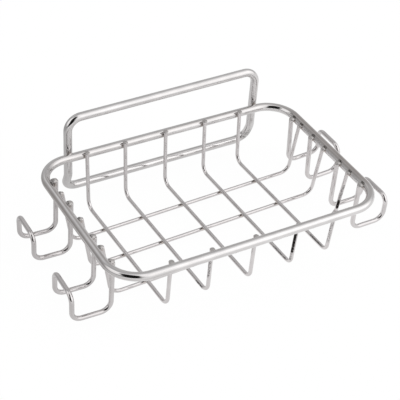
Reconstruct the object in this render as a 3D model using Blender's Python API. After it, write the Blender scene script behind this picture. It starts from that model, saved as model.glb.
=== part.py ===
# Wall basket for soap, bent and welded from round stainless steel wire.
#
# The rim is a flat rounded rectangle. A hanging loop stands behind it, five cross wires and three
# long wires make the basket below it, and two double hooks hang from each short side.
# Lengths are in metres, +X is to the right, +Y is towards the wall and +Z is up.
# The origin is the point under the loop's top bar where a wall holder carries the shelf.

import math

import bmesh
import bpy
from mathutils import Matrix, Vector

# Wire stock
rim_wire = 0.0045
hook_wire = 0.0025
basket_wire = 0.0020
weld_gap = 0.0003
end_rounding = 0.0004

# Rim, measured outside
rim_length = 0.1520
rim_width = 0.1021
rim_corner_radius = 0.0160

# Hanging loop, measured outside
loop_leg_to_rim_corner = 0.00175
loop_rise = 0.02385
loop_drop = 0.02875
loop_corner_radius = 0.0074
loop_offset = 0.0023
setback_start = 0.0145
setback_bend_radius = 0.0080
setback_degrees = 22.5

# Basket
floor_depth = 0.0275
floor_fall_to_back = 0.047
floor_fall_to_left = 0.026
cross_wire_inner_pitch_share = 0.1572
cross_wire_outer_pitch_share = 0.1441
cross_wire_offset = -0.0008
long_wire_pitch_share = 0.2253
long_wire_offset = 0.0007
back_wall_lean = 0.0020
front_wall_lean = -0.0006
front_riser_lean_to_right = 0.0007
side_wall_lean = 0.0033
cross_wire_bend_radius = 0.0052
long_wire_bend_radius = 0.0096
cross_wire_stub_back = 0.0036
cross_wire_stub_front = 0.0013
long_wire_stub = 0.0005

# Side hooks, their middles and widths as shares of the rim's width
left_back_hook_place_share = 0.2223
left_back_hook_width_share = 0.1792
left_front_hook_place_share = -0.2272
left_front_hook_width_share = 0.1929
right_back_hook_place_share = 0.2106
right_back_hook_width_share = 0.1871
right_back_hook_swing_degrees = 3.2
right_front_hook_place_share = -0.2297
right_front_hook_width_share = 0.1988
hook_reach = 0.0202
hook_drop = 0.0284
hook_tip_rise = 0.0142
hook_bend_radius = 0.0054
hook_tip_bend_radius = 0.0046
hook_stub = 0.0008

# Number of flats round each wire, multiples of four, and steps in a right-angle bend
rim_wire_flats = 16
hook_wire_flats = 12
basket_wire_flats = 12
steps_in_large_bend = 8
steps_in_small_bend = 6
steps_in_end_rounding = 2
round_profile = 0.5
merge_distance = 0.00001
sharp_edge_degrees = 50

# Worked out from the sizes above
rim_half_length = (rim_length - rim_wire) / 2
rim_half_width = (rim_width - rim_wire) / 2
loop_length = rim_length - 2 * (rim_corner_radius + loop_leg_to_rim_corner)
loop_half_length = (loop_length - rim_wire) / 2
loop_top = loop_rise - rim_wire / 2
loop_bottom = -(loop_drop - rim_wire / 2)
loop_plane = rim_half_width + rim_wire + weld_gap
setback = (-setback_start - loop_bottom) * math.tan(math.radians(setback_degrees))
basket_wire_seat = (rim_wire + basket_wire) / 2 + weld_gap
hook_wire_seat = (rim_wire + hook_wire) / 2 + weld_gap
cross_wire_inner_pitch = rim_length * cross_wire_inner_pitch_share
cross_wire_outer_pitch = rim_length * cross_wire_outer_pitch_share
long_wire_pitch = rim_width * long_wire_pitch_share
hanging_point = Vector((0, loop_plane, loop_top - rim_wire / 2))


def clear_scene():
    for old in list(bpy.data.objects):
        bpy.data.objects.remove(old, do_unlink=True)


def polished_steel(name, colour, roughness):
    steel = bpy.data.materials.new(name)
    steel.use_nodes = True
    shader = steel.node_tree.nodes["Principled BSDF"]
    shader.inputs["Base Color"].default_value = (*colour, 1)
    shader.inputs["Metallic"].default_value = 1
    shader.inputs["Roughness"].default_value = roughness
    return steel


def first_ring(mesh, start, heading, side, diameter, flats):
    """A polygon round the wire's centre line, with flats that face along side and across it."""
    along = heading.normalized()
    across = (side - along * side.dot(along)).normalized()
    turn = Matrix((across, along.cross(across), along)).transposed().to_4x4()
    half_flat = Matrix.Rotation(math.pi / flats, 4, "Z")
    ring = bmesh.ops.create_circle(
        mesh,
        cap_ends=False,
        segments=flats,
        radius=diameter / 2 / math.cos(math.pi / flats),
        matrix=Matrix.Translation(start) @ turn @ half_flat,
    )
    return list({edge for vert in ring["verts"] for edge in vert.link_edges})


def draw_straight(mesh, ring, run):
    """Push the ring along a straight run of wire."""
    grown = bmesh.ops.extrude_edge_only(mesh, edges=ring)["geom"]
    moved = [item for item in grown if isinstance(item, bmesh.types.BMVert)]
    bmesh.ops.translate(mesh, verts=moved, vec=run)
    return [item for item in grown if isinstance(item, bmesh.types.BMEdge)]


def draw_bend(mesh, ring, start, heading, next_heading, radius, steps):
    """Swing the ring round a bend, from one heading to the next."""
    axis = heading.cross(next_heading).normalized()
    angle = heading.angle(next_heading)
    corners = list({vert for edge in ring for vert in edge.verts})
    swung = bmesh.ops.spin(
        mesh,
        geom=corners + ring,
        cent=start + axis.cross(heading) * radius,
        axis=axis,
        dvec=Vector((0, 0, 0)),
        angle=angle,
        steps=max(2, round(steps * angle / (math.pi / 2))),
        use_merge=False,
        use_duplicate=False,
    )
    return [item for item in swung["geom_last"] if isinstance(item, bmesh.types.BMEdge)]


def draw_wire(mesh, route, bend_radii, side, diameter, flats, steps):
    """One bent wire from the first point of the route to the last; returns its two end rings."""
    headings = [(end - start).normalized() for start, end in zip(route, route[1:])]
    ring = first_ring(mesh, route[0], headings[0], side, diameter, flats)
    start_ring = ring
    here = route[0]
    for corner, heading, next_heading, radius in zip(route[1:], headings, headings[1:], bend_radii):
        setback_of_bend = radius * math.tan(heading.angle(next_heading) / 2)
        bend_start = corner - heading * setback_of_bend
        ring = draw_straight(mesh, ring, bend_start - here)
        ring = draw_bend(mesh, ring, bend_start, heading, next_heading, radius, steps)
        here = corner + next_heading * setback_of_bend
    ring = draw_straight(mesh, ring, route[-1] - here)
    return start_ring, ring


def finish_wire(name, mesh, material, shelf_frame):
    """Turn the drawn mesh into a named object, smooth round the wire and sharp at its ends."""
    bmesh.ops.recalc_face_normals(mesh, faces=mesh.faces)
    data = bpy.data.meshes.new(name)
    mesh.to_mesh(data)
    mesh.free()
    data.materials.append(material)
    data.shade_smooth()
    data.set_sharp_from_angle(angle=math.radians(sharp_edge_degrees))
    wire = bpy.data.objects.new(name, data)
    bpy.context.collection.objects.link(wire)
    wire.parent = shelf_frame


def open_wire(name, route, bend_radii, side, diameter, flats, steps, material, shelf_frame):
    """A wire with two cut ends, each end a flat face with its edge rounded off."""
    mesh = bmesh.new()
    for ring in draw_wire(mesh, route, bend_radii, side, diameter, flats, steps):
        bmesh.ops.edgeloop_fill(mesh, edges=ring)
        bmesh.ops.bevel(
            mesh,
            geom=ring,
            offset=end_rounding,
            segments=steps_in_end_rounding,
            profile=round_profile,
            affect="EDGES",
            material=-1,
        )
    finish_wire(name, mesh, material, shelf_frame)


def closed_wire(name, corners, bend_radii, side, material, shelf_frame):
    """A wire bent to a ring, its two ends butt welded in the middle of its first side."""
    middle = (corners[0] + corners[-1]) / 2
    mesh = bmesh.new()
    draw_wire(
        mesh,
        [middle, *corners, middle],
        bend_radii,
        side,
        rim_wire,
        rim_wire_flats,
        steps_in_large_bend,
    )
    bmesh.ops.remove_doubles(mesh, verts=mesh.verts, dist=merge_distance)
    finish_wire(name, mesh, material, shelf_frame)


def make_rim(material, shelf_frame):
    corners = [
        Vector((rim_half_length, rim_half_width, 0)),
        Vector((rim_half_length, -rim_half_width, 0)),
        Vector((-rim_half_length, -rim_half_width, 0)),
        Vector((-rim_half_length, rim_half_width, 0)),
    ]
    radii = [rim_corner_radius] * len(corners)
    closed_wire("rim_frame", corners, radii, Vector((0, 0, 1)), material, shelf_frame)


def make_hanging_loop(material, shelf_frame):
    """The loop stands upright behind the rim, and its lower part leans back towards the wall."""
    left = loop_offset - loop_half_length
    right = loop_offset + loop_half_length
    back = loop_plane + setback
    corners = [
        Vector((right, loop_plane, loop_top)),
        Vector((right, loop_plane, -setback_start)),
        Vector((right, back, loop_bottom)),
        Vector((left, back, loop_bottom)),
        Vector((left, loop_plane, -setback_start)),
        Vector((left, loop_plane, loop_top)),
    ]
    half = [loop_corner_radius, setback_bend_radius, loop_corner_radius]
    radii = half + half[::-1]
    closed_wire("hanging_loop", corners, radii, Vector((0, 1, 0)), material, shelf_frame)


def floor_height(across, along):
    """The floor hangs below the rim and falls a little to the back and to the left."""
    return floor_fall_to_left * across - floor_fall_to_back * along - floor_depth


def top_above(seat, lean, depth, stub):
    """Where a leaning wall wire ends, if it touches the rim's inside at the rim's own height."""
    return seat + lean * stub / depth


def make_cross_wire(number, across, material, shelf_frame):
    """Down from the back of the rim, across the floor and up to the front of the rim."""
    seat = rim_half_width - basket_wire_seat
    back_foot = seat - back_wall_lean
    front_foot = front_wall_lean - seat
    back_floor = floor_height(across, back_foot)
    front_floor = floor_height(across, front_foot)
    back_top = top_above(seat, back_wall_lean, -back_floor, cross_wire_stub_back)
    front_top = -top_above(seat, front_wall_lean, -front_floor, cross_wire_stub_front)
    route = [
        Vector((across, back_top, cross_wire_stub_back)),
        Vector((across, back_foot, back_floor)),
        Vector((across, front_foot, front_floor)),
        Vector((across + front_riser_lean_to_right, front_top, cross_wire_stub_front)),
    ]
    radii = [cross_wire_bend_radius] * 2
    open_wire(f"cross_wire_{number}", route, radii, Vector((1, 0, 0)), basket_wire,
              basket_wire_flats, steps_in_small_bend, material, shelf_frame)


def make_long_wire(place, along, material, shelf_frame):
    """Down from the left of the rim, along under the cross wires and up to the right of the rim."""
    seat = rim_half_length - basket_wire_seat
    foot = seat - side_wall_lean
    left_floor = floor_height(-foot, along) - basket_wire - weld_gap
    right_floor = floor_height(foot, along) - basket_wire - weld_gap
    route = [
        Vector((-top_above(seat, side_wall_lean, -left_floor, long_wire_stub), along, long_wire_stub)),
        Vector((-foot, along, left_floor)),
        Vector((foot, along, right_floor)),
        Vector((top_above(seat, side_wall_lean, -right_floor, long_wire_stub), along, long_wire_stub)),
    ]
    radii = [long_wire_bend_radius] * 2
    open_wire(f"long_wire_{place}", route, radii, Vector((0, 1, 0)), basket_wire,
              basket_wire_flats, steps_in_small_bend, material, shelf_frame)


def swing_round_rim(route, side, degrees):
    """Swing a hook outwards round the rim's centre line, which keeps its gap to the rim."""
    centre = Vector((side * rim_half_length, 0, 0))
    swing = Matrix.Rotation(-side * math.radians(degrees), 3, "Y")
    return [centre + swing @ (point - centre) for point in route]


def make_side_hook(place, side, place_share, width_share, swing_degrees, material, shelf_frame):
    """Two arms from the rim, down, out and up, joined at the tip by a short bar along the shelf."""
    seat = side * (rim_half_length - hook_wire_seat)
    tip = side * (rim_half_length - hook_wire_seat + hook_reach)
    far = rim_width * (place_share + width_share / 2)
    near = rim_width * (place_share - width_share / 2)
    tip_height = hook_tip_rise - hook_drop
    route = [
        Vector((seat, far, hook_stub)),
        Vector((seat, far, -hook_drop)),
        Vector((tip, far, -hook_drop)),
        Vector((tip, far, tip_height)),
        Vector((tip, near, tip_height)),
        Vector((tip, near, -hook_drop)),
        Vector((seat, near, -hook_drop)),
        Vector((seat, near, hook_stub)),
    ]
    route = swing_round_rim(route, side, swing_degrees)
    arm = [hook_bend_radius, hook_bend_radius, hook_tip_bend_radius]
    open_wire(f"side_hook_{place}", route, arm + arm[::-1], Vector((0, 1, 0)), hook_wire,
              hook_wire_flats, steps_in_small_bend, material, shelf_frame)


def make_basket(material, shelf_frame):
    outermost = cross_wire_inner_pitch + cross_wire_outer_pitch
    steps = (-outermost, -cross_wire_inner_pitch, 0, cross_wire_inner_pitch, outermost)
    for number, step in enumerate(steps, start=1):
        make_cross_wire(number, cross_wire_offset + step, material, shelf_frame)
    for step, place in ((1, "back"), (0, "middle"), (-1, "front")):
        along = step * long_wire_pitch + long_wire_offset
        make_long_wire(place, along, material, shelf_frame)


def make_side_hooks(material, shelf_frame):
    make_side_hook("left_back", -1, left_back_hook_place_share, left_back_hook_width_share, 0,
                   material, shelf_frame)
    make_side_hook("left_front", -1, left_front_hook_place_share, left_front_hook_width_share, 0,
                   material, shelf_frame)
    make_side_hook("right_back", 1, right_back_hook_place_share, right_back_hook_width_share,
                   right_back_hook_swing_degrees, material, shelf_frame)
    make_side_hook("right_front", 1, right_front_hook_place_share, right_front_hook_width_share, 0,
                   material, shelf_frame)


def make_shelf():
    clear_scene()
    shelf_frame = bpy.data.objects.new("rim_centre", None)
    shelf_frame.location = -hanging_point
    bpy.context.collection.objects.link(shelf_frame)
    rim_steel = polished_steel("polished_rim_steel", (0.68, 0.67, 0.66), 0.14)
    basket_steel = polished_steel("polished_basket_steel", (0.60, 0.59, 0.58), 0.22)
    hook_steel = polished_steel("polished_hook_steel", (0.64, 0.63, 0.62), 0.18)
    make_rim(rim_steel, shelf_frame)
    make_hanging_loop(rim_steel, shelf_frame)
    make_basket(basket_steel, shelf_frame)
    make_side_hooks(hook_steel, shelf_frame)


make_shelf()
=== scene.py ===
# %% [markdown]
# # A soap shelf bent and welded from bright steel wire
#
# Fourteen lengths of round stainless wire make this shelf: a thick rim, a thick hanging loop, five
# thin cross wires, three thin long wires and four double hooks. Nothing on it moves.
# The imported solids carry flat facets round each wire, which is right for a solid that has to be
# light, but a polished wire shows every facet in its reflections. So each solid gets a truly round
# wire in its place, bent over the same route, and the welds between them get their fillets.

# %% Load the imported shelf
import math

import bmesh
import bpy
import numpy as np
from mathutils import Matrix, Vector, noise


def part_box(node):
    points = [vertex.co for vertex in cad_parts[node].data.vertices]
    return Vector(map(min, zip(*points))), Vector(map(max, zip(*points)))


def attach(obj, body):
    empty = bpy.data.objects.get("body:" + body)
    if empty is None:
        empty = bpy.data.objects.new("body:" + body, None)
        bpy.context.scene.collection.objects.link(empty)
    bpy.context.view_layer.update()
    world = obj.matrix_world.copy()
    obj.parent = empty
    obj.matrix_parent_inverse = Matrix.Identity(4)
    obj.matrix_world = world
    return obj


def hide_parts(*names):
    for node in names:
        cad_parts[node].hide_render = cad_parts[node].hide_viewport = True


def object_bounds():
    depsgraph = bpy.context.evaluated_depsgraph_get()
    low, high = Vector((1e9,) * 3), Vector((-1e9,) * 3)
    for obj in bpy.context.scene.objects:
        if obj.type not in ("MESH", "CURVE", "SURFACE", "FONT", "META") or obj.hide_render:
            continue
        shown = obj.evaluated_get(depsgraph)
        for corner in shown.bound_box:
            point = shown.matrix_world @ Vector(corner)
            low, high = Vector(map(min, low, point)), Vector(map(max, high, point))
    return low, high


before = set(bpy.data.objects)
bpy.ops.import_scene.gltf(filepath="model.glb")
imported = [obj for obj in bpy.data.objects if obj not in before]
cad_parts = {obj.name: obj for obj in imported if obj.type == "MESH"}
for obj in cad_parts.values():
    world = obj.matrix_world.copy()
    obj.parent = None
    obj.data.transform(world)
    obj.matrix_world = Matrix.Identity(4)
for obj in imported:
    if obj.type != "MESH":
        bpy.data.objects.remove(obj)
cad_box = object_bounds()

print("solids in the frame:", len(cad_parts))

# %% [markdown]
# ## Sizes
#
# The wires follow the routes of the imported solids, so the shelf's own sizes are written here once,
# in metres. The wire's diameter is measured across its flats in the solids, and that is the true
# round wire's diameter too.

# %% Wire stock and clearances
MM = 0.001
RIM_WIRE = 4.5 * MM
HOOK_WIRE = 2.5 * MM
BASKET_WIRE = 2.0 * MM
WELD_GAP = 0.3 * MM
END_ROUNDING = 0.45 * MM

# %% Rim and loop sizes
RIM_LENGTH = 152.0 * MM
RIM_WIDTH = 102.1 * MM
RIM_CORNER_RADIUS = 16.0 * MM
LOOP_LENGTH = 116.5 * MM
LOOP_RISE = 23.85 * MM
LOOP_DROP = 28.75 * MM
LOOP_CORNER_RADIUS = 7.4 * MM
LOOP_OFFSET = 2.3 * MM
SETBACK_START = 14.5 * MM
SETBACK_BEND_RADIUS = 8.0 * MM
SETBACK_DEGREES = 22.5

# %% Basket sizes
FLOOR_DEPTH = 27.5 * MM
FLOOR_FALL_TO_BACK = 0.047
FLOOR_FALL_TO_LEFT = 0.026
CROSS_WIRES = [-46.6 * MM, -24.69 * MM, -0.8 * MM, 23.09 * MM, 45.0 * MM]
LONG_WIRES = {"back": 23.7 * MM, "middle": 0.7 * MM, "front": -22.3 * MM}
BACK_WALL_LEAN = 2.0 * MM
FRONT_WALL_LEAN = -0.6 * MM
LEFT_WALL_LEAN = 5.3 * MM
RIGHT_WALL_LEAN = 3.6 * MM
BACK_BEND_RADIUS = 5.2 * MM
LONG_WIRE_BEND_RADII = [6.2 * MM, 5.8 * MM]
CROSS_WIRE_STUB_BACK = 3.6 * MM
LONG_WIRE_STUB = 0.5 * MM

# %% Hook sizes: side, place along the rim, width, and the degrees that it swings out
HOOKS = {
    "left_back": (-1, 22.7 * MM, 18.3 * MM, 0.0),
    "left_front": (-1, -23.2 * MM, 19.7 * MM, 0.0),
    "right_back": (1, 21.5 * MM, 19.1 * MM, 3.2),
    "right_front": (1, -23.45 * MM, 20.3 * MM, 0.0),
}
HOOK_REACH = 20.2 * MM
HOOK_DROP = 28.4 * MM
HOOK_TIP_RISE = 14.2 * MM
HOOK_BEND_RADIUS = 5.4 * MM
HOOK_TIP_BEND_RADIUS = 4.6 * MM
HOOK_STUB = 0.8 * MM

# %% [markdown]
# ## Small unevenness from the bench
#
# Wires that are bent in a press and welded in a jig never come out quite alike. The solids have the
# larger part of it. What is left is a millimetre or two on single wires: a rim corner that stands
# proud, risers that lean, hooks that opened a little and ends that were cut longer. A shelf without
# it looks drawn instead of made.

# %% The rim and the loop
RIM_TWIST_FRONT_LEFT = 0.75 * MM
RIM_BOW_FRONT_LEFT = 0.9 * MM
RIGHT_BAR_BROADER = 0.65 * MM
RIGHT_BAR_SWELL_DEGREES = 215
LOOP_TOP_LIFT_LEFT = -1.0 * MM
LOOP_TOP_LIFT_RIGHT = 0.45 * MM

# %% The front ends of the five cross wires, from left to right
FRONT_BEND_RADII = [5.2 * MM, 5.2 * MM, 4.2 * MM, 3.4 * MM, 3.4 * MM]
FRONT_FEET_BACK = [0.5 * MM, 0.1 * MM, -0.1 * MM, -0.1 * MM, 0.3 * MM]
FRONT_FEET_UP = [0.5 * MM, 0.2 * MM, -0.1 * MM, -0.35 * MM, -0.75 * MM]
FRONT_LEANS_TO_RIGHT = [0.7 * MM, 0.7 * MM, 1.1 * MM, 1.8 * MM, 2.2 * MM]
FRONT_STUBS = [1.3 * MM, 1.1 * MM, 0.8 * MM, -0.4 * MM, -0.4 * MM]

# %% Ends cut longer than the rest, and hooks that opened
LONG_WIRE_LEFT_STUBS = {"back": 0.5 * MM, "middle": 1.2 * MM, "front": 1.2 * MM}
HOOK_STUBS = {"left_back": (2.7 * MM, 1.8 * MM)}
EVEN = Vector((0, 0, 0))
# How far a hook's inner bends, outer bends and tips lie off the common shape: outwards, along the
# rim away from the hook's middle, and up.
HOOK_OFFSETS = {
    "left_back": (Vector((0.6, 0, -0.5)) * MM, Vector((0, 0, 0.2)) * MM,
                  Vector((0, 0.6, 1.3)) * MM),
    "left_front": (Vector((0.4, 0, -0.9)) * MM, Vector((0.5, 0, 0)) * MM,
                   Vector((0.5, 0, 1.2)) * MM),
    "right_back": (EVEN, EVEN, Vector((-0.4, 0, 1.2)) * MM),
    "right_front": (EVEN, EVEN, EVEN),
}

# %% Places worked out from the sizes
RIM_X = (RIM_LENGTH - RIM_WIRE) / 2
RIM_Y = (RIM_WIDTH - RIM_WIRE) / 2
LOOP_X = (LOOP_LENGTH - RIM_WIRE) / 2
LOOP_Y = RIM_Y + RIM_WIRE + WELD_GAP
LOOP_TOP = LOOP_RISE - RIM_WIRE / 2
LOOP_BOTTOM = RIM_WIRE / 2 - LOOP_DROP
SETBACK = (-SETBACK_START - LOOP_BOTTOM) * math.tan(math.radians(SETBACK_DEGREES))
BASKET_SEAT = (RIM_WIRE + BASKET_WIRE) / 2 + WELD_GAP
HOOK_SEAT = (RIM_WIRE + HOOK_WIRE) / 2 + WELD_GAP
WALL_X = RIM_X - BASKET_SEAT
WALL_Y = RIM_Y - BASKET_SEAT
WELD_X = RIM_X - RIM_WIRE / 2 - WELD_GAP / 2
WELD_Y = RIM_Y - RIM_WIRE / 2 - WELD_GAP / 2
RIM_CENTRE = Vector((0, -LOOP_Y, RIM_WIRE / 2 - LOOP_TOP))
UP = Vector((0, 0, 1))
ALONG = Vector((1, 0, 0))
BACKWARD = Vector((0, 1, 0))


def rim_lift(across, along):
    """How far the rim's centre line stands above its plane, most at the front left corner."""
    near_corner = (0.5 - across / (2 * RIM_X)) * (0.5 - along / (2 * RIM_Y))
    return RIM_TWIST_FRONT_LEFT * near_corner + RIM_BOW_FRONT_LEFT * near_corner ** 3


def floor_height(across, along):
    """The height of the cross wires' centre lines over the sloping floor of the basket."""
    return FLOOR_FALL_TO_LEFT * across - FLOOR_FALL_TO_BACK * along - FLOOR_DEPTH


print("rim centre below the hanging point:", [round(v / MM, 2) for v in RIM_CENTRE], "mm")

# %% [markdown]
# ## Bending a wire
#
# A wire is made straight first and then bent over its route, as on the bench. A long round bar is
# cut into hundreds of even rings, and each ring is then carried to its place on the route. The
# straight wire's own coordinates are kept on the mesh as an attribute, so that the lines that
# drawing leaves along a wire can follow it through every bend.
# Sweeping each bend with its own spin would give the same shape, but the rings would be uneven and
# nothing would remember how far along the wire they lie.

# %% The route of a wire's centre line
RING_STEP = 0.5 * MM
LEAST_STEPS_IN_A_BEND = 12


def bent_route(corners, radii):
    """Even stations along a line whose corners are rounded to the given radii, and its length."""
    points = [corners[0]]
    for before, corner, after, radius in zip(corners, corners[1:], corners[2:], radii):
        inward = (before - corner).normalized()
        outward = (after - corner).normalized()
        half_turn = (math.pi - inward.angle(outward)) / 2
        centre = corner + (inward + outward).normalized() * radius / math.cos(half_turn)
        first = corner + inward * radius * math.tan(half_turn) - centre
        axis = (-inward).cross(outward).normalized()
        steps = max(LEAST_STEPS_IN_A_BEND, round(half_turn * 2 * radius / RING_STEP) * 2)
        for step in range(steps + 1):
            turn = Matrix.Rotation(half_turn * 2 * step / steps, 3, axis)
            points.append(centre + turn @ first)
    points.append(corners[-1])
    line = np.array(points)
    lengths = np.concatenate([[0], np.cumsum(np.linalg.norm(np.diff(line, axis=0), axis=1))])
    stations = np.linspace(0, lengths[-1], round(lengths[-1] / RING_STEP) + 1)
    places = np.stack([np.interp(stations, lengths, line[:, axis]) for axis in range(3)], axis=1)
    return [Vector(place) for place in places.tolist()], lengths[-1]


# %% [markdown]
# The rings must not twist against each other along the wire, or the drawn lines would wind round it
# like a screw thread. So each ring's frame is the one before it, turned only by as much as the wire
# turns between the two.

# %% Frames that don't twist
def carried_frames(stations, side):
    """One frame for each station: across, across again, and along the wire."""
    ahead = [(b - a).normalized() for a, b in zip(stations, stations[1:])]
    between = [(a + b).normalized() for a, b in zip(ahead, ahead[1:])]
    tangents = [ahead[0]] + between + [ahead[-1]]
    across = (side - tangents[0] * side.dot(tangents[0])).normalized()
    frames = []
    for before, tangent in zip([tangents[0]] + tangents, tangents):
        across = before.rotation_difference(tangent) @ across
        across = (across - tangent * across.dot(tangent)).normalized()
        frames.append(Matrix((across, tangent.cross(across), tangent)).transposed())
    return frames


# %% A straight wire
def straight_wire(diameter, length, steps, sides, closed):
    """A tube of even rings up the Z axis, with rounded ends unless it is to be closed to a ring."""
    mesh = bmesh.new()
    bmesh.ops.create_cone(mesh, cap_ends=not closed, segments=sides, radius1=diameter / 2,
                          radius2=diameter / 2, depth=length,
                          matrix=Matrix.Translation((0, 0, length / 2)))
    if not closed:
        rims = [edge for edge in mesh.edges if edge.calc_length() < length / 2]
        bmesh.ops.bevel(mesh, geom=rims, offset=END_ROUNDING, segments=4, profile=0.5,
                        affect="EDGES", material=-1)
    lengthwise = [edge for edge in mesh.edges if edge.calc_length() > length / 2]
    bmesh.ops.subdivide_edges(mesh, edges=lengthwise, cuts=steps - 1, use_grid_fill=True)
    return mesh


# %% The same wire bent
FLARE_REACH = 2.4 * MM
FLARE_FADE = 1.5
FLARE_THINNING = 0.4
STATION_SLACK = 1e-4


def mesh_points(data):
    points = np.zeros(len(data.vertices) * 3)
    data.vertices.foreach_get("co", points)
    return points.reshape(-1, 3)


def move_points(data, points):
    data.vertices.foreach_set("co", points.astype(np.float32).ravel())
    data.update()


def flare_ends(straight, length, flare):
    """Widen the wire along the rim near both ends, where the weld has squashed it."""
    from_end = np.minimum(straight[:, 2], length - straight[:, 2])
    near = np.clip(1 - from_end / FLARE_REACH, 0, 1) ** FLARE_FADE
    return (straight[:, 0] * (1 + flare * near),
            straight[:, 1] * (1 - flare * near * FLARE_THINNING))


def bend_wire(name, mesh, stations, frames, length, flare=0.0):
    """Carry every point from the straight wire to the route, and keep where it came from."""
    data = bpy.data.meshes.new(name)
    mesh.to_mesh(data)
    mesh.free()
    straight = mesh_points(data).astype(np.float32)
    corners = np.zeros(len(data.loops), dtype=np.int32)
    data.loops.foreach_get("vertex_index", corners)
    drawn = data.attributes.new("drawn_wire", "FLOAT_VECTOR", "CORNER")
    drawn.data.foreach_set("vector", straight[corners].ravel())
    place = np.clip(straight[:, 2], 0, length) * (len(stations) - 1) / length
    low = np.minimum((place + STATION_SLACK).astype(int), len(stations) - 2)
    share = (place - low)[:, None]
    line, turned = np.array(stations), np.array(frames)
    centre = line[low] * (1 - share) + line[low + 1] * share
    nearer = turned[np.where(share[:, 0] > 0.5, low + 1, low)]
    across, again = flare_ends(straight, length, flare)
    move_points(data, centre + nearer[:, :, 0] * across[:, None]
                + nearer[:, :, 1] * again[:, None])
    return data


# %% [markdown]
# ## Where the welds are
#
# Every joint is a resistance weld: two crossing wires are squeezed together while a current melts
# the point where they touch. It leaves a small fillet between them and a ring of heat colour on
# both. The list of welds is made before the wires, because each wire carries the heat of its own.
# Each weld is a point between two wires, the way from the first wire to the second, the two wires'
# headings there and their radii. A weld on the rim also says how far the second wire's cut end
# stands above it.

# %% List the welds
def weld(kind, place, out, first, second, first_wire, second_wire, stub=None):
    return {"kind": kind, "place": RIM_CENTRE + place, "out": out, "first": first,
            "second": second, "radii": (first_wire / 2, second_wire / 2), "stub": stub}


def basket_weld(place, lift, out, first, stub):
    """A thin wire welded to the inside of the rim, as high as the rim stands there."""
    return weld("rim", Vector((*place, lift)), out, first, UP, RIM_WIRE, BASKET_WIRE, stub)


welds = []
for across, front_stub, lean in zip(CROSS_WIRES, FRONT_STUBS, FRONT_LEANS_TO_RIGHT):
    welds.append(basket_weld((across, WELD_Y), rim_lift(across, RIM_Y), -BACKWARD, ALONG,
                             CROSS_WIRE_STUB_BACK))
    welds.append(basket_weld((across + lean, -WELD_Y), rim_lift(across, -RIM_Y), BACKWARD, ALONG,
                             front_stub))
for name, along in LONG_WIRES.items():
    for side, stub in ((1, LONG_WIRE_STUB), (-1, LONG_WIRE_LEFT_STUBS[name])):
        welds.append(basket_weld((side * WELD_X, along), rim_lift(side * RIM_X, along),
                                 ALONG * -side, BACKWARD, stub))
    for across in CROSS_WIRES:
        height = floor_height(across, along) - (BASKET_WIRE + WELD_GAP) / 2
        welds.append(weld("floor", Vector((across, along, height)), -UP, BACKWARD, ALONG,
                          BASKET_WIRE, BASKET_WIRE))
for name, (side, middle, width, degrees) in HOOKS.items():
    swing = Matrix.Rotation(-side * math.radians(degrees), 3, "Y")
    bar = Vector((side * RIM_X, 0, 0))
    seat = (bar + swing @ Vector((side * (WELD_X - RIM_X), 0, 0))
            + UP * rim_lift(side * RIM_X, middle))
    for arm, stub in zip((1, -1), HOOK_STUBS.get(name, (HOOK_STUB, HOOK_STUB))):
        welds.append(weld("hook", seat + BACKWARD * (middle + arm * width / 2),
                          swing @ (ALONG * -side), BACKWARD, swing @ UP, RIM_WIRE, HOOK_WIRE,
                          stub))
for side in (1, -1):
    place = Vector((LOOP_OFFSET + side * LOOP_X, RIM_Y + (RIM_WIRE + WELD_GAP) / 2, 0))
    welds.append(weld("loop", place, BACKWARD, ALONG, UP, RIM_WIRE, RIM_WIRE))
kinds = ("rim", "floor", "hook", "loop")
print("welds:", {kind: sum(joint["kind"] == kind for joint in welds) for kind in kinds})

# %% [markdown]
# ## Dark streaks
#
# Some wires are darkened in streaks and spots, down to near black.
# The cross wires 2, 4 and 5 and the front long wire carry a dark streak on the side towards the
# front left, and one leg of the loop has a dark smudge. There is a dark spot on the rim over each
# cut end of the side walls, and a small dark mark beside each crossing on the floor. Each is a line
# near a wire's surface, with its reach on both sides and how dark it is.

# %% Lines beside the wires
STREAK_TURN_ON_WALLS = math.radians(-48)
STREAK_TURN_ON_FLOOR = math.radians(-90)
FLOOR_STREAK_ABOVE_MIDDLE = 0.45 * MM
FLOOR_STREAK_END = 3 * MM


def beside(across, along, height, turn):
    """A point on a basket wire's surface, on the side that the turn from the front gives."""
    outwards = Vector((math.sin(turn), -math.cos(turn), 0)) * BASKET_WIRE / 2
    return RIM_CENTRE + Vector((across, along, height)) + outwards


def beside_floor(across, along):
    height = floor_height(across, along) + FLOOR_STREAK_ABOVE_MIDDLE
    return beside(across, along, height, STREAK_TURN_ON_FLOOR)


def riser_streak(number, top, bottom, reach, strength):
    """A streak down a cross wire's front wall, from and to a shift to the right and a height."""
    start, end = (beside(CROSS_WIRES[number - 1] + shift * MM, -WALL_Y, height * MM,
                         STREAK_TURN_ON_WALLS) for shift, height in (top, bottom))
    return start, end, reach * MM, strength


def floor_streak(number, length, strength):
    """A streak along a cross wire on the floor, up to the bend at its front end."""
    across = CROSS_WIRES[number - 1]
    start = beside_floor(across, length * MM - WALL_Y)
    return start, beside_floor(across, FLOOR_STREAK_END - WALL_Y), 1.0 * MM, strength


def side_streak(top, bottom, reach, strength):
    """A streak down the front long wire's right wall, from and to a shift and a height."""
    start, end = (beside(WALL_X + shift * MM, LONG_WIRES["front"], height * MM,
                         STREAK_TURN_ON_WALLS) for shift, height in (top, bottom))
    return start, end, reach * MM, strength
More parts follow.
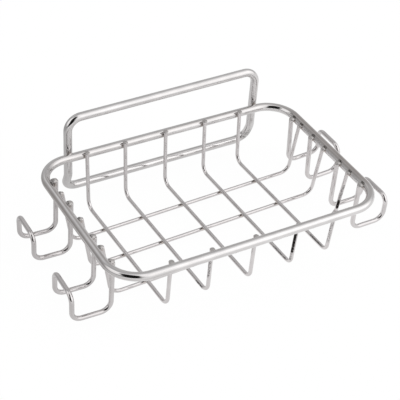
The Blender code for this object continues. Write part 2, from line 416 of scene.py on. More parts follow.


# %% List the dark streaks
leg_x = LOOP_OFFSET + LOOP_X
leg_streak_top = Vector((leg_x, LOOP_Y - RIM_WIRE / 2, -18 * MM))
leg_streak_foot = Vector((leg_x - 1.5 * MM, LOOP_Y + 1.5 * MM, LOOP_BOTTOM + 3 * MM))
streaks = [
    riser_streak(4, (1.5, -3), (0.7, -17), 1.15, 0.60),
    riser_streak(4, (0.7, -17), (0.3, -22), 1.2, 0.36),
    floor_streak(4, 14, 0.36),
    riser_streak(2, (0.5, -4), (0, -15), 1.35, 0.36),
    floor_streak(2, 9, 0.42),
    riser_streak(5, (1.9, -4), (0.7, -19), 1.1, 0.34),
    floor_streak(5, 13, 0.46),
    side_streak((-0.6, -7), (-1.9, -16), 1.0, 0.38),
    side_streak((-2.0, -17), (-2.6, -21), 1.1, 0.62),
    (RIM_CENTRE + leg_streak_top, RIM_CENTRE + leg_streak_foot, 3.2 * MM, 0.33),
]

# %% Add the marks at the welds
MARK_FROM_CROSSING = Vector((-1.0, -0.6, 0)) * MM
MARK_LENGTH = 1.4 * MM
MARK_REACH = 0.75 * MM
MARK_STRENGTH = 0.46
SPOT_HALF_LENGTH = 0.7 * MM
SPOT_REACH = 1.25 * MM
SPOT_ABOVE_STUB = 0.5 * MM
SPOT_ONTO_RIM = 0.5 * MM
SPOT_STRENGTH_LEFT_BAR = 0.36
SPOT_STRENGTH_RIGHT_BAR = 0.44


def on_side_bar(joint):
    return abs(joint["out"].x) > 0.5


for joint in welds:
    if joint["kind"] == "floor":
        near = joint["place"] + MARK_FROM_CROSSING
        streaks.append((near, near - ALONG * MARK_LENGTH, MARK_REACH, MARK_STRENGTH))
    if joint["stub"] is not None and on_side_bar(joint):
        spot = joint["place"] + joint["second"] * (joint["stub"] + SPOT_ABOVE_STUB)
        spot = spot - joint["out"] * SPOT_ONTO_RIM
        half = joint["first"] * SPOT_HALF_LENGTH
        strength = SPOT_STRENGTH_LEFT_BAR if joint["out"].x > 0 else SPOT_STRENGTH_RIGHT_BAR
        streaks.append((spot - half, spot + half, SPOT_REACH, strength))
print("lines of soot:", len(streaks))

# %% [markdown]
# The welds on the back bar stayed cooler, so their heat colour is weaker. Both kinds of mark are
# kept as a number on each point of a mesh, and the steel reads them.

# %% Finish a piece: smooth shading, heat from the welds, and its body
HEAT_REACH = 1.65 * MM
HEAT_ON_BACK_BAR = 0.62
DARK_MARK_EDGE_SHARE = 0.45
SHARP_DEGREES = 60


def keep_on_points(data, name, values):
    data.attributes.new(name, "FLOAT", "POINT").data.foreach_set("value", values)


def add_heat_and_dark_marks(data):
    """How strongly each point is heated, and how dark its streaks and spots make it, from 0 to 1."""
    points = mesh_points(data)
    heat = np.zeros(len(points))
    for joint in welds:
        on_back_bar = joint["kind"] == "rim" and joint["out"].y < -0.5
        away = np.linalg.norm(points - np.array(joint["place"]), axis=1)
        glow = np.exp(-(away / HEAT_REACH) ** 2)
        heat = np.maximum(heat, (HEAT_ON_BACK_BAR if on_back_bar else 1.0) * glow)
    keep_on_points(data, "weld_heat", heat)
    # How dark the streaks and spots make each point, from 0 to 1.
    dark_marks = np.zeros(len(points))
    for start, end, reach, strength in streaks:
        run = np.array(end - start)
        share = np.clip((points - np.array(start)) @ run / (run @ run), 0, 1)[:, None]
        away = np.linalg.norm(points - np.array(start) - share * run, axis=1)
        dark = np.clip((reach - away) / (reach * DARK_MARK_EDGE_SHARE), 0, 1)
        dark_marks = np.maximum(dark_marks, strength * dark)
    keep_on_points(data, "dark_marks", dark_marks)


def finish_piece(data, material, node=None):
    data.materials.append(material)
    data.shade_smooth()
    data.set_sharp_from_angle(angle=math.radians(SHARP_DEGREES))
    add_heat_and_dark_marks(data)
    piece = bpy.data.objects.new(data.name, data)
    bpy.context.collection.objects.link(piece)
    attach(piece, "root")
    if node:
        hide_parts(node)
        lowest, highest = (np.array(corner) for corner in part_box(node))
        points = mesh_points(data)
        off = max(np.abs(points.min(0) - lowest).max(), np.abs(points.max(0) - highest).max())
        print(f"{piece.name}: {len(data.polygons)} faces, {off / MM:.2f} mm off its solid's box")
    return piece


# %% One call for an open wire and one for a closed ring
def open_wire(node, corners, radii, side, coil, flare):
    """Bend one wire of a coil over its corners and finish it."""
    stations, length = bent_route([RIM_CENTRE + corner for corner in corners], radii)
    mesh = straight_wire(coil["wire"], length, len(stations) - 1, coil["sides"], closed=False)
    data = bend_wire(f"{node}_wire", mesh, stations, carried_frames(stations, side), length, flare)
    return finish_piece(data, coil["steel"], node)


def closed_wire(node, corners, radii, side, coil):
    """Bend one wire of a coil to a ring and join its ends. It is finished separately."""
    middle = (corners[0] + corners[-1]) / 2
    route = [RIM_CENTRE + corner for corner in [middle, *corners, middle]]
    stations, length = bent_route(route, radii)
    mesh = straight_wire(coil["wire"], length, len(stations) - 1, coil["sides"], closed=True)
    data = bend_wire(f"{node}_wire", mesh, stations, carried_frames(stations, side), length)
    ring = bmesh.new()
    ring.from_mesh(data)
    bmesh.ops.remove_doubles(ring, verts=ring.verts, dist=RING_STEP / 10)
    bmesh.ops.recalc_face_normals(ring, faces=ring.faces)
    ring.to_mesh(data)
    ring.free()
    return data


# %% [markdown]
# ## Bright steel
#
# The wires are stainless steel, drawn through a die and then electropolished. Three things show on
# it: fine lines along the wire from the die, a soft cloudiness where the polish took unevenly, and
# straw, brown and blue-grey heat colour beside each weld. A plain metal with one roughness would
# look like chrome plastic. The lines and clouds come from noise in the straight wire's own
# coordinates, so they bend with the wire, and the same two groups serve every wire.

# %% Small helpers for node trees
def new_group(name, inputs, outputs):
    group = bpy.data.node_groups.new(name, "ShaderNodeTree")
    for title, kind, value in inputs:
        socket = group.interface.new_socket(title, in_out="INPUT", socket_type=kind)
        if value is not None:
            socket.default_value = value
    for title, kind in outputs:
        group.interface.new_socket(title, in_out="OUTPUT", socket_type=kind)
    return group, group.nodes.new("NodeGroupInput"), group.nodes.new("NodeGroupOutput")


def add_node(tree, kind, settings=None, **sockets):
    """A node with its settings, and each named socket set to a value or linked to an output."""
    node = tree.nodes.new(kind)
    for key, value in (settings or {}).items():
        setattr(node, key, value)
    for key, value in sockets.items():
        by_number = key[1:].isdigit()
        socket = node.inputs[int(key[1:])] if by_number else node.inputs[key.replace("_", " ")]
        if isinstance(value, bpy.types.NodeSocket):
            tree.links.new(value, socket)
        else:
            socket.default_value = value
    return node


def remapped(tree, value, low, high, to_low=0.0, to_high=1.0):
    node = add_node(tree, "ShaderNodeMapRange", {"interpolation_type": "SMOOTHSTEP"}, Value=value,
                    From_Min=low, From_Max=high, To_Min=to_low, To_Max=to_high)
    return node.outputs["Result"]


def maths(tree, operation, first, second):
    node = add_node(tree, "ShaderNodeMath", {"operation": operation}, _0=first, _1=second)
    return node.outputs[0]


def mixed(tree, factor, first, second, blend="MIX"):
    node = add_node(tree, "ShaderNodeMix", {"data_type": "RGBA", "blend_type": blend},
                    _0=factor, _6=first, _7=second)
    return node.outputs[2]


def attribute(tree, name):
    return add_node(tree, "ShaderNodeAttribute", {"attribute_name": name})


def metal(name):
    steel = bpy.data.materials.new(name)
    steel.use_nodes = True
    shader = steel.node_tree.nodes["Principled BSDF"]
    shader.inputs["Metallic"].default_value = 1.0
    return steel, steel.node_tree, shader


# %% The lines and clouds on drawn wire
STREAK_START = 0.011
# Each pattern: how much it is stretched along the wire, and where its noise starts and ends.
PATTERNS = {
    "Lines": (0.02, 0.3, 0.7),
    "Streaks": (0.006, 0.34, 0.62),
    "Clouds": (1.0, 0.32, 0.68),
}


def drawn_wire_group():
    inputs = [("Wire", "NodeSocketVector", None), ("Lines per metre", "NodeSocketFloat", 2600.0),
              ("Streaks per metre", "NodeSocketFloat", 800.0),
              ("Clouds per metre", "NodeSocketFloat", 90.0)]
    group, given, result = new_group("drawn_wire", inputs,
                                     [(title, "NodeSocketFloat") for title in PATTERNS])
    for title, (stretch, low, high) in PATTERNS.items():
        drawn = add_node(group, "ShaderNodeVectorMath", {"operation": "MULTIPLY_ADD"},
                         _0=given.outputs["Wire"], _1=(1.0, 1.0, stretch), _2=(0, 0, STREAK_START))
        texture = add_node(group, "ShaderNodeTexNoise", Vector=drawn.outputs[0], Detail=3.0,
                           Roughness=0.6, Scale=given.outputs[f"{title} per metre"])
        group.links.new(remapped(group, texture.outputs["Fac"], low, high), result.inputs[title])
    return group


# %% The heat colour beside a weld
HEAT_WANDER_PER_METRE = 900.0
HEAT_COLOURS = {
    0.2: (1, 1, 1, 1),
    0.4: (0.95, 0.92, 0.88, 1),
    0.6: (0.78, 0.73, 0.69, 1),
    0.8: (0.58, 0.54, 0.52, 1),
    0.98: (0.34, 0.32, 0.31, 1),
}


def heat_group():
    inputs = [("Heat", "NodeSocketFloat", 0.0), ("Steel", "NodeSocketColor", None),
              ("Place", "NodeSocketVector", None)]
    group, given, result = new_group("weld_heat", inputs,
                                     [("Colour", "NodeSocketColor"), ("Scale", "NodeSocketFloat")])
    wander = add_node(group, "ShaderNodeTexNoise", Vector=given.outputs["Place"],
                      Scale=HEAT_WANDER_PER_METRE, Detail=3.0, Roughness=0.6)
    pushed = maths(group, "MULTIPLY", remapped(group, wander.outputs["Fac"], 0.3, 0.7, 0.55, 1.25),
                   given.outputs["Heat"])
    colours = add_node(group, "ShaderNodeValToRGB", Fac=pushed)
    ramp = colours.color_ramp
    coolest, *between, hottest = HEAT_COLOURS
    ramp.elements[0].position, ramp.elements[0].color = coolest, HEAT_COLOURS[coolest]
    ramp.elements[1].position, ramp.elements[1].color = hottest, HEAT_COLOURS[hottest]
    for place in between:
        ramp.elements.new(place).color = HEAT_COLOURS[place]
    tinted = mixed(group, 1.0, given.outputs["Steel"], colours.outputs["Color"], "MULTIPLY")
    group.links.new(tinted, result.inputs["Colour"])
    group.links.new(remapped(group, pushed, 0.45, 0.95), result.inputs["Scale"])
    return group


drawn_wire = drawn_wire_group()
weld_heat = heat_group()
print("groups:", drawn_wire.name, weld_heat.name)

# %% Dark streaks with a ragged edge instead of a soft one
# The near black that the dark streaks and spots darken the steel towards.
DARK_MARK_BLACK = (0.012, 0.010, 0.009, 1)
DARK_MARK_GRAIN_PER_METRE = 1500.0
DARK_MARK_GRAIN_SHARE = 0.7


def broken_edge(tree, place):
    dark_marks = attribute(tree, "dark_marks").outputs["Fac"]
    grain = add_node(tree, "ShaderNodeTexNoise", Vector=place.outputs["Object"],
                     Scale=DARK_MARK_GRAIN_PER_METRE, Detail=3.0)
    grain = maths(tree, "MULTIPLY", grain.outputs["Fac"], DARK_MARK_GRAIN_SHARE)
    ragged = remapped(tree, maths(tree, "ADD", dark_marks, grain), 0.55, 0.95)
    return maths(tree, "MULTIPLY", ragged, remapped(tree, dark_marks, 0.0, 0.3))


# %% [markdown]
# The three wires come from three coils, so each is a material of its own: the thin basket wire is
# the smoothest, the thick wire comes next, and the hook wire is a little darker and rougher. The
# colour is the steel's own reflectance, near the middle of the scale, because everything that looks
# white on it is a reflection. The short bars of the rim have been scuffed in the press, and there
# the streaks from the die show at full depth.

# %% A bright steel for each wire
SCUFFED_DARK = (0.72, 0.68, 0.66, 1)
SCUFFED_LIGHT = (1.17, 1.17, 1.18, 1)
PLAIN_STREAK_DEPTH = 0.30
CLOUD_SHARE = 0.90
LINE_ROUGHNESS_SHARES = (0.8, 1.3)
HEAT_SCALE_ROUGHNESS = 0.22
LINE_DEPTH = 0.003 * MM
LINE_STRENGTH = 0.12


def bright_steel(name, colour, roughness):
    steel, tree, shader = metal(name)
    place = add_node(tree, "ShaderNodeTexCoord")
    marks = add_node(tree, "ShaderNodeGroup", {"node_tree": drawn_wire},
                     Wire=attribute(tree, "drawn_wire").outputs["Vector"])
    dull = tuple(channel * CLOUD_SHARE for channel in colour)
    clouded = mixed(tree, marks.outputs["Clouds"], (*colour, 1), (*dull, 1))
    depth = remapped(tree, attribute(tree, "scuffed").outputs["Fac"], 0.0, 1.0,
                     PLAIN_STREAK_DEPTH, 1.0)
    streaked = mixed(tree, marks.outputs["Streaks"], SCUFFED_DARK, SCUFFED_LIGHT)
    streaked = mixed(tree, depth, (1, 1, 1, 1), streaked)
    lined = add_node(tree, "ShaderNodeVectorMath", {"operation": "MULTIPLY"},
                     _0=clouded, _1=streaked)
    tint = add_node(tree, "ShaderNodeGroup", {"node_tree": weld_heat},
                    Heat=attribute(tree, "weld_heat").outputs["Fac"],
                    Steel=lined.outputs[0], Place=place.outputs["Object"])
    darkened = mixed(tree, broken_edge(tree, place), tint.outputs["Colour"], DARK_MARK_BLACK)
    smoothest, roughest = (roughness * share for share in LINE_ROUGHNESS_SHARES)
    rough = remapped(tree, marks.outputs["Lines"], 0.0, 1.0, smoothest, roughest)
    scaled = maths(tree, "MULTIPLY", tint.outputs["Scale"], HEAT_SCALE_ROUGHNESS)
    bump = add_node(tree, "ShaderNodeBump", Strength=LINE_STRENGTH, Distance=LINE_DEPTH,
                    Height=marks.outputs["Lines"])
    tree.links.new(darkened, shader.inputs["Base Color"])
    tree.links.new(maths(tree, "ADD", rough, scaled), shader.inputs["Roughness"])
    tree.links.new(bump.outputs["Normal"], shader.inputs["Normal"])
    return steel


rim_steel = bright_steel("bright_rim_steel", (0.69, 0.675, 0.672), 0.09)
basket_steel = bright_steel("bright_basket_steel", (0.70, 0.675, 0.675), 0.085)
hook_steel = bright_steel("bright_hook_steel", (0.675, 0.652, 0.652), 0.10)
rim_coil = {"wire": RIM_WIRE, "sides": 40, "steel": rim_steel, "slot": "rim_steel"}
hook_coil = {"wire": HOOK_WIRE, "sides": 32, "steel": hook_steel, "slot": "hook_steel"}
basket_coil = {"wire": BASKET_WIRE, "sides": 28, "steel": basket_steel, "slot": "basket_steel"}
print("steels:", rim_steel.name, basket_steel.name, hook_steel.name)

# %% [markdown]
# ## The rim and the hanging loop
#
# Both are the thick wire bent to a ring and butt welded. The rim is bent flat, and then its front
# left corner is raised and its right bar is broadened towards the inside and below, where the press
# has squashed it. The loop isn't flat: below the rim its legs lean back by 22.5 degrees, so the
# frames that don't twist matter most there.

# %% Raise, broaden and scuff the rim
BROADER_FROM = 0.35
SCUFFED_FROM = 0.25


def along_bars(points, start):
    """0 at the corners of the rim and 1 along the middle of its short bars."""
    return np.clip((RIM_Y - np.abs(points[:, 1])) / RIM_CORNER_RADIUS - start, 0, 1)


def raise_front_left(data):
    for vertex in data.vertices:
        place = vertex.co - RIM_CENTRE
        vertex.co.z += rim_lift(place.x, place.y)


def broaden_right_bar(data):
    points = mesh_points(data) - np.array(RIM_CENTRE)
    turn = math.radians(RIGHT_BAR_SWELL_DEGREES)
    swell = np.array((math.cos(turn), 0, math.sin(turn)))
    facing_swell = np.clip((points - np.array((RIM_X, 0, 0))) @ swell / (RIM_WIRE / 2), 0, 1)
    fade = along_bars(points, BROADER_FROM)
    smooth = facing_swell * fade * fade * (3 - 2 * fade)
    on_bar = np.where(points[:, 0] > RIM_X - RIM_WIRE, smooth, 0)
    moved = points + swell * (RIGHT_BAR_BROADER * on_bar)[:, None]
    move_points(data, moved + np.array(RIM_CENTRE))


def scuff_short_bars(data):
    points = mesh_points(data) - np.array(RIM_CENTRE)
    across = np.abs(points[:, 0]) - (RIM_X - RIM_WIRE)
    scuffed = along_bars(points, SCUFFED_FROM) * np.clip(across / RIM_WIRE, 0, 1)
    keep_on_points(data, "scuffed", scuffed)


# %% Bend the rim
rim_corners = [Vector((x * RIM_X, y * RIM_Y, 0)) for x, y in ((1, 1), (1, -1), (-1, -1), (-1, 1))]
rim_data = closed_wire("rim_frame", rim_corners, [RIM_CORNER_RADIUS] * 4, UP, rim_coil)
raise_front_left(rim_data)
broaden_right_bar(rim_data)
scuff_short_bars(rim_data)
finish_piece(rim_data, rim_steel, "rim_frame")

# %% Bend the hanging loop
left, right = LOOP_OFFSET - LOOP_X, LOOP_OFFSET + LOOP_X
foot = LOOP_Y + SETBACK
loop_corners = [
    Vector((left, foot, LOOP_BOTTOM)),
    Vector((left, LOOP_Y, -SETBACK_START)),
    Vector((left, LOOP_Y, LOOP_TOP + LOOP_TOP_LIFT_LEFT)),
    Vector((right, LOOP_Y, LOOP_TOP + LOOP_TOP_LIFT_RIGHT)),
    Vector((right, LOOP_Y, -SETBACK_START)),
    Vector((right, foot, LOOP_BOTTOM)),
]
loop_radii = [LOOP_CORNER_RADIUS, SETBACK_BEND_RADIUS, LOOP_CORNER_RADIUS]
loop_data = closed_wire("hanging_loop", loop_corners, loop_radii + loop_radii[::-1], BACKWARD,
                        rim_coil)
finish_piece(loop_data, rim_steel, "hanging_loop")

# %% [markdown]
# ## The basket
#
# The cross wires lie on the long wires. Each wall leans a little, and a wire's top is where the
# leaning line passes its seat on the rim, a stub above the rim's middle. The weld squashes each end
# against the rim, so the wire flares there.

# %% Bend the cross wires
CROSS_WIRE_FLARE = 0.35
LONG_WIRE_FLARE = 0.2
HOOK_FLARE = 0.15


def lean_past(seat, lean, depth, stub):
    return seat + lean * stub / depth


back_foot = WALL_Y - BACK_WALL_LEAN
front_foot = FRONT_WALL_LEAN - WALL_Y
front_ends = zip(CROSS_WIRES, FRONT_FEET_BACK, FRONT_FEET_UP, FRONT_LEANS_TO_RIGHT, FRONT_STUBS,
                 FRONT_BEND_RADII)
for number, (across, back, up, lean, front_stub, radius) in enumerate(front_ends, start=1):
    back_floor = floor_height(across, back_foot)
    front_floor = floor_height(across, front_foot)
    back_top = lean_past(WALL_Y, BACK_WALL_LEAN, -back_floor, CROSS_WIRE_STUB_BACK)
    front_top = -lean_past(WALL_Y, FRONT_WALL_LEAN, -front_floor, front_stub)
    route = [
        Vector((across, back_top, CROSS_WIRE_STUB_BACK)),
        Vector((across, back_foot, back_floor)),
        Vector((across, front_foot + back, front_floor + up)),
        Vector((across + lean, front_top, front_stub + rim_lift(across, -RIM_Y))),
    ]
    open_wire(f"cross_wire_{number}", route, [BACK_BEND_RADIUS, radius], ALONG, basket_coil,
              CROSS_WIRE_FLARE)

# %% Bend the long wires
left_foot = LEFT_WALL_LEAN - WALL_X
right_foot = WALL_X - RIGHT_WALL_LEAN
for name, along in LONG_WIRES.items():
    left_floor = floor_height(left_foot, along) - BASKET_WIRE - WELD_GAP
    right_floor = floor_height(right_foot, along) - BASKET_WIRE - WELD_GAP
    left_top = -lean_past(WALL_X, LEFT_WALL_LEAN, -left_floor, LONG_WIRE_STUB)
    right_top = lean_past(WALL_X, RIGHT_WALL_LEAN, -right_floor, LONG_WIRE_STUB)
    route = [
        Vector((left_top, along, LONG_WIRE_LEFT_STUBS[name] + rim_lift(-RIM_X, along))),
        Vector((left_foot, along, left_floor)),
        Vector((right_foot, along, right_floor)),
        Vector((right_top, along, LONG_WIRE_STUB)),
    ]
    open_wire(f"long_wire_{name}", route, LONG_WIRE_BEND_RADII, BACKWARD, basket_coil,
              LONG_WIRE_FLARE)

# %% [markdown]
# ## The side hooks
#
# Each is one wire: down from the rim, out, up to the tip, along the shelf, and the same way back.

# %% Bend the side hooks
for name, (side, middle, width, degrees) in HOOKS.items():
    seat = side * (RIM_X - HOOK_SEAT)
    tip = seat + side * HOOK_REACH
    rise = HOOK_TIP_RISE - HOOK_DROP
    arms = []
    for arm, stub in zip((1, -1), HOOK_STUBS.get(name, (HOOK_STUB, HOOK_STUB))):
        half = [(seat, stub), (seat, -HOOK_DROP), (tip, -HOOK_DROP), (tip, rise)]
        points = [Vector((x, middle + arm * width / 2, z)) for x, z in half]
        for point, offset in zip(points[1:], HOOK_OFFSETS[name]):
            point += Vector((side * offset.x, arm * offset.y, offset.z))
        arms.append(points)
    bar = Vector((side * RIM_X, 0, 0))
    swing = Matrix.Rotation(-side * math.radians(degrees), 3, "Y")
    route = [bar + swing @ (point - bar) for point in arms[0] + arms[1][::-1]]
    radii = [HOOK_BEND_RADIUS, HOOK_BEND_RADIUS, HOOK_TIP_BEND_RADIUS]
    open_wire(f"side_hook_{name}", route, radii + radii[::-1], BACKWARD, hook_coil, HOOK_FLARE)

# %% [markdown]
# ## The welds
#
# A weld's fillet fills the narrow space round the point where two wires touch, and it reaches as
# far as that space stays narrow. Along the thick rim it stops early, because the thin wire's round
# side falls away fast, and along the thin wire it runs further. Each fillet starts as a sphere. Its
# points are moved so that its top sinks into one wire, its foot sinks into the other, and its waist
# draws in between them.

# %% Shape one weld fillet
FILLET_HEIGHT = 0.62 * MM
FILLET_SINK = 0.12 * MM
FILLET_WAIST_SHARE = 0.20
FILLET_UNEVEN_SHARE = 0.16
FILLET_LUMPS_PER_MM = 0.7
FILLET_ROUNDNESS = 1.6
FILLET_SEGMENTS = 28
FILLET_RINGS = 14
FURTHEST_SHARE = 0.96
REACH_STEP = 0.02 * MM


def sag(radius, offset):
    """How far a round wire's side has fallen away at an offset from its top line."""
    return radius - math.sqrt(max(radius * radius - offset * offset, 0))


def fillet_reach(turn, first_radius, second_radius):
    """How far from the middle the space between the wires stays lower than the fillet."""
    reach = 0.0
    while reach < min(first_radius, second_radius) * FURTHEST_SHARE:
        fallen = sag(first_radius, reach * math.sin(turn))
        if WELD_GAP + (fallen + sag(second_radius, reach * math.cos(turn))) > FILLET_HEIGHT:
            break
        reach += REACH_STEP
    return reach


def add_fillet(mesh, joint):
    out, first, middle = joint["out"].normalized(), joint["first"], joint["place"]
    frame_here = Matrix((first, out.cross(first), out)).transposed()
    first_radius, second_radius = joint["radii"]
    ball = bmesh.ops.create_uvsphere(mesh, u_segments=FILLET_SEGMENTS, v_segments=FILLET_RINGS,
                                     radius=1)
    for vert in ball["verts"]:
        turn = math.atan2(vert.co.y, vert.co.x)
        flat = math.hypot(vert.co.x, vert.co.y)
        round_it = Vector((math.cos(turn), math.sin(turn), vert.co.z))
        uneven = noise.noise((middle / MM) * FILLET_LUMPS_PER_MM + round_it)
        reach = fillet_reach(turn, first_radius, second_radius) * (1 + FILLET_UNEVEN_SHARE * uneven)
        waist = 1 - FILLET_WAIST_SHARE * (1 - vert.co.z * vert.co.z)
        away = reach * min(1, flat * FILLET_ROUNDNESS) * waist
        low = -WELD_GAP / 2 - sag(first_radius, away * math.sin(turn)) - FILLET_SINK
        high = WELD_GAP / 2 + sag(second_radius, away * math.cos(turn)) + FILLET_SINK
        level = low + (high - low) * (vert.co.z + 1) / 2
        place = Vector((away * math.cos(turn), away * math.sin(turn), level))
        vert.co = middle + frame_here @ place


# %% [markdown]
# The press also pushes soft metal up over the cut end of each wall wire and hook arm. It stands
# there as a lumpy bead, a third wider than the wire, and leans over to the rim beside it. A bead is
# a sphere too, stretched away from the rim, flattened, and sunk over the wire's end.

# %% Shape the bead on a wire's end
BEAD_WIDER_THAN_WIRE = 1.3
BEAD_DEEPER_THAN_WIRE = 1.55
BEAD_HALF_HEIGHT_SIDE_BARS = 0.9 * MM
BEAD_HALF_HEIGHT_LONG_BARS = 0.5 * MM
BEAD_SINK = 0.25 * MM
BEAD_SHIFT_TO_RIM = 0.75 * MM
BEAD_SHIFT_BACK_BAR = 0.1 * MM
BEAD_SHIFT_MORE_LEFT_BAR = 0.35 * MM
BEAD_UNEVEN_SHARE = 0.13
BEAD_LUMPS_PER_MM = 3
BEAD_LUMPS_ROUND_IT = 1.4
BEAD_SEGMENTS = 24
BEAD_RINGS = 14


def add_bead(mesh, joint):
    out, along_rim, up_wire = joint["out"], joint["first"], joint["second"]
    radius = joint["radii"][1]
    shift = BEAD_SHIFT_BACK_BAR if out.y < -0.5 else BEAD_SHIFT_TO_RIM
    centre = joint["place"] + out * (WELD_GAP / 2 + radius - shift)
    centre = centre + up_wire * (joint["stub"] - BEAD_SINK)
    if out.x > 0.5:
        centre = centre - out * BEAD_SHIFT_MORE_LEFT_BAR
    half_height = BEAD_HALF_HEIGHT_SIDE_BARS if on_side_bar(joint) else BEAD_HALF_HEIGHT_LONG_BARS
    ball = bmesh.ops.create_uvsphere(mesh, u_segments=BEAD_SEGMENTS, v_segments=BEAD_RINGS,
                                     radius=1)
    for vert in ball["verts"]:
        lump = noise.noise(centre / MM * BEAD_LUMPS_PER_MM + vert.co * BEAD_LUMPS_ROUND_IT)
        x, y, z = vert.co * (1 + BEAD_UNEVEN_SHARE * lump)
        vert.co = (centre + along_rim * x * radius * BEAD_WIDER_THAN_WIRE
                   + out * y * radius * BEAD_DEEPER_THAN_WIRE + up_wire * z * half_height)


# %% [markdown]
# The fillets and beads are steel too, but they froze quickly in the open air, so they are duller
# and darker than the wires and grainy, and they carry the same dark streaks.

# %% The steel of the welds
WELD_DARK = (0.47, 0.45, 0.44, 1)
WELD_LIGHT = (0.60, 0.58, 0.57, 1)
WELD_ROUGHNESS = (0.42, 0.55)
WELD_GRAIN_PER_METRE = 2600.0
WELD_GRAIN_DEPTH = 0.02 * MM


def weld_steel_material():
    steel, tree, shader = metal("weld_steel")
    place = add_node(tree, "ShaderNodeTexCoord")
    grain = add_node(tree, "ShaderNodeTexNoise", Vector=place.outputs["Object"],
                     Scale=WELD_GRAIN_PER_METRE, Detail=4.0, Roughness=0.6).outputs["Fac"]
    colour = mixed(tree, remapped(tree, grain, 0.35, 0.65), WELD_DARK, WELD_LIGHT)
    darkened = mixed(tree, broken_edge(tree, place), colour, DARK_MARK_BLACK)
    bump = add_node(tree, "ShaderNodeBump", Strength=0.5, Distance=WELD_GRAIN_DEPTH, Height=grain)
    tree.links.new(darkened, shader.inputs["Base Color"])
    tree.links.new(remapped(tree, grain, 0.3, 0.7, *WELD_ROUGHNESS), shader.inputs["Roughness"])
    tree.links.new(bump.outputs["Normal"], shader.inputs["Normal"])
    return steel


weld_steel = weld_steel_material()

# %% Make the fillets and beads
slots = {"rim": "rim_steel", "floor": "basket_steel", "hook": "hook_steel", "loop": "rim_steel"}
for kind, slot in slots.items():
    mesh = bmesh.new()
    for joint in welds:
        if joint["kind"] == kind:
            add_fillet(mesh, joint)
            if joint["stub"] is not None:
                add_bead(mesh, joint)
    bmesh.ops.recalc_face_normals(mesh, faces=mesh.faces)
    data = bpy.data.meshes.new(f"{kind}_weld_fillets")
    mesh.to_mesh(data)
    mesh.free()
    fillets = finish_piece(data, weld_steel)
    print(fillets.name, len(fillets.data.polygons), "faces")

# %% [markdown]
# ## The stage
#
# A bright wire shows the room, so the room matters more than the lamps. It is a photographer's
# room: a white sweep under and in front of the shelf, a large panel to the right in front, another
# to the left, a softer light overhead, a pale wall behind, and a dark place where the photographer
# stands. The short black marks at the bends are that place. The sky of the scene is painted with
# those parts by direction. Seen by the camera itself it is plain white.

# %% A pale floor under the shelf
FLOOR_SIDE = 6.0
floor_level = cad_box[0][2] if cad_box else 0
mesh = bmesh.new()
bmesh.ops.create_grid(mesh, x_segments=1, y_segments=1, size=FLOOR_SIDE / 2,
                      matrix=Matrix.Translation((0, 0, floor_level)))
floor_data = bpy.data.meshes.new("pale_floor")
mesh.to_mesh(floor_data)
mesh.free()
floor = bpy.data.objects.new("pale_floor", floor_data)
bpy.context.collection.objects.link(floor)
print("floor at", round(floor_level / MM, 1), "mm")

# %% [markdown]
# The floor is almost pure white to the camera and a soft slope of light in reflections, and it
# keeps the faint shadow of the wires: most of its white is light of its own, and the rest is lit.

# %% The floor's material
FLOOR_GLOW = 0.94
FLOOR_SHOWN = 1.025
FLOOR_LEVEL = 0.78
FLOOR_LEAST = 0.45
FLOOR_BRIGHTER_TOWARDS = (1.3, -1.75, 0)
FLOOR_PAINT = (0.80, 0.80, 0.80, 1)
FLOOR_ROUGHNESS = 0.9


def pale_floor_material():
    pale = bpy.data.materials.new("pale_floor")
    pale.use_nodes = True
    tree = pale.node_tree
    paint = tree.nodes["Principled BSDF"]
    paint.inputs["Base Color"].default_value = FLOOR_PAINT
    paint.inputs["Roughness"].default_value = FLOOR_ROUGHNESS
    paint.inputs["Specular IOR Level"].default_value = 0.0
    place = add_node(tree, "ShaderNodeTexCoord")
    slope = add_node(tree, "ShaderNodeVectorMath", {"operation": "DOT_PRODUCT"},
                     _0=place.outputs["Object"], _1=FLOOR_BRIGHTER_TOWARDS)
    level = add_node(tree, "ShaderNodeMath", {"operation": "ADD", "use_clamp": True},
                     _0=slope.outputs["Value"], _1=FLOOR_LEVEL)
    level = maths(tree, "MAXIMUM", level.outputs[0], FLOOR_LEAST)
    path = add_node(tree, "ShaderNodeLightPath")
    shown = maths(tree, "MULTIPLY", path.outputs["Is Camera Ray"], FLOOR_SHOWN)
    level = maths(tree, "MAXIMUM", level, shown)
    glow = add_node(tree, "ShaderNodeEmission", Color=(1, 1, 1, 1), Strength=level)
    seen = maths(tree, "MAXIMUM", path.outputs["Is Camera Ray"], path.outputs["Is Glossy Ray"])
    blend = add_node(tree, "ShaderNodeMixShader", _0=maths(tree, "MULTIPLY", seen, FLOOR_GLOW),
                     _1=paint.outputs[0], _2=glow.outputs[0])
    tree.links.new(blend.outputs[0], tree.nodes["Material Output"].inputs["Surface"])
    return pale


floor_data.materials.append(pale_floor_material())

# %% Directions in the room
CAMERA_AZIMUTH = -32.1838
CAMERA_ELEVATION = 38.7735
CAMERA_ROLL = 4.7347


def towards(azimuth, elevation):
    turn, lift = math.radians(azimuth), math.radians(elevation)
    return Vector((math.sin(turn) * math.cos(lift), -math.cos(turn) * math.cos(lift),
                   math.sin(lift)))


def facing(tree, direction, centre, wide, narrow):
    """1 where a direction is within narrow degrees of the centre, 0 beyond wide degrees."""
    match = add_node(tree, "ShaderNodeVectorMath", {"operation": "DOT_PRODUCT"},
                     _0=direction, _1=tuple(centre))
    return remapped(tree, match.outputs["Value"], math.cos(math.radians(wide)),
                    math.cos(math.radians(narrow)))


# %% The room, painted by direction
ROOM_LEVEL = 0.46
ROOM_BRIGHTER_TOWARDS = (0.106, 0.12, 0.0)
# Each patch of the room: azimuth, elevation, outer and inner degrees, and how much light it adds.
PATCHES = {
    "panel": (43, 44, 62, 6, 0.66),
    "sweep": (36, 12, 60, 24, 0.46),
    "left_panel": (-92, 36, 38, 15, 0.85),
    "overhead": (-35, 74, 30, 8, 0.35),
    "back_wall": (-167, 38, 17, 2, 0.15),
}
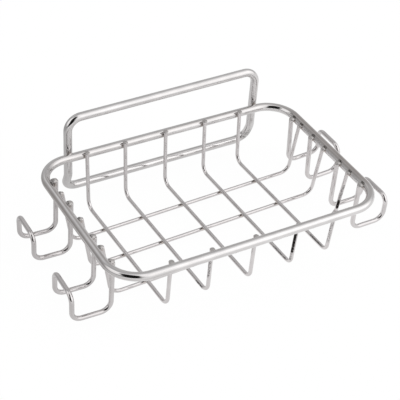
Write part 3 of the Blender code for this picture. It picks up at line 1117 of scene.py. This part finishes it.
# The photographer stands below the camera and bends over it: three patches, azimuth and elevation.
PHOTOGRAPHER = [(-33, 6), (-40, 28), (-46, 50)]
PHOTOGRAPHER_REACH = (28, 18)
PHOTOGRAPHER_LEVEL = (0.012, 0.012, 0.012, 1)


def paint_room():
    world = bpy.data.worlds.new("studio")
    bpy.context.scene.world = world
    world.use_nodes = True
    tree = world.node_tree
    background = tree.nodes["Background"]
    direction = add_node(tree, "ShaderNodeTexCoord").outputs["Generated"]
    slope = add_node(tree, "ShaderNodeVectorMath", {"operation": "DOT_PRODUCT"},
                     _0=direction, _1=ROOM_BRIGHTER_TOWARDS)
    room = maths(tree, "ADD", slope.outputs["Value"], ROOM_LEVEL)
    for azimuth, elevation, wide, narrow, light in PATCHES.values():
        patch = facing(tree, direction, towards(azimuth, elevation), wide, narrow)
        room = maths(tree, "ADD", room, maths(tree, "MULTIPLY", patch, light))
    for azimuth, elevation in PHOTOGRAPHER:
        person = facing(tree, direction, towards(azimuth, elevation), *PHOTOGRAPHER_REACH)
        room = mixed(tree, person, room, PHOTOGRAPHER_LEVEL)
    path = add_node(tree, "ShaderNodeLightPath")
    shown = mixed(tree, path.outputs["Is Camera Ray"], room, (1, 1, 1, 1))
    tree.links.new(shown, background.inputs["Color"])
    background.inputs["Strength"].default_value = 1.0


paint_room()
print("room painted with", ", ".join(PATCHES))

# %% [markdown]
# ## The camera
#
# It stands to the left and in front, 39 degrees up, turned a little about its own line of sight,
# with a long lens. These values come from matching the wires' crossings and ends in the photograph.

# %% Place the camera
CAMERA_PLACE = Vector((-0.245525, -0.436691, 0.335445))
CAMERA_LENS = 102.449


def place_camera():
    back = towards(CAMERA_AZIMUTH, CAMERA_ELEVATION)
    right = (-back).cross(UP).normalized()
    above = right.cross(-back)
    roll = math.radians(CAMERA_ROLL)
    across = right * math.cos(roll) + above * math.sin(roll)
    upwards = above * math.cos(roll) - right * math.sin(roll)
    data = bpy.data.cameras.new("portrait")
    data.lens = CAMERA_LENS
    data.sensor_width = 36
    data.clip_start = 0.01
    camera = bpy.data.objects.new("portrait", data)
    bpy.context.collection.objects.link(camera)
    turned = Matrix((across, upwards, back)).transposed().to_4x4()
    camera.matrix_world = Matrix.Translation(CAMERA_PLACE) @ turned
    bpy.context.scene.camera = camera


place_camera()
bpy.context.scene.view_settings.view_transform = "Standard"
print("camera at", [round(v, 3) for v in CAMERA_PLACE])
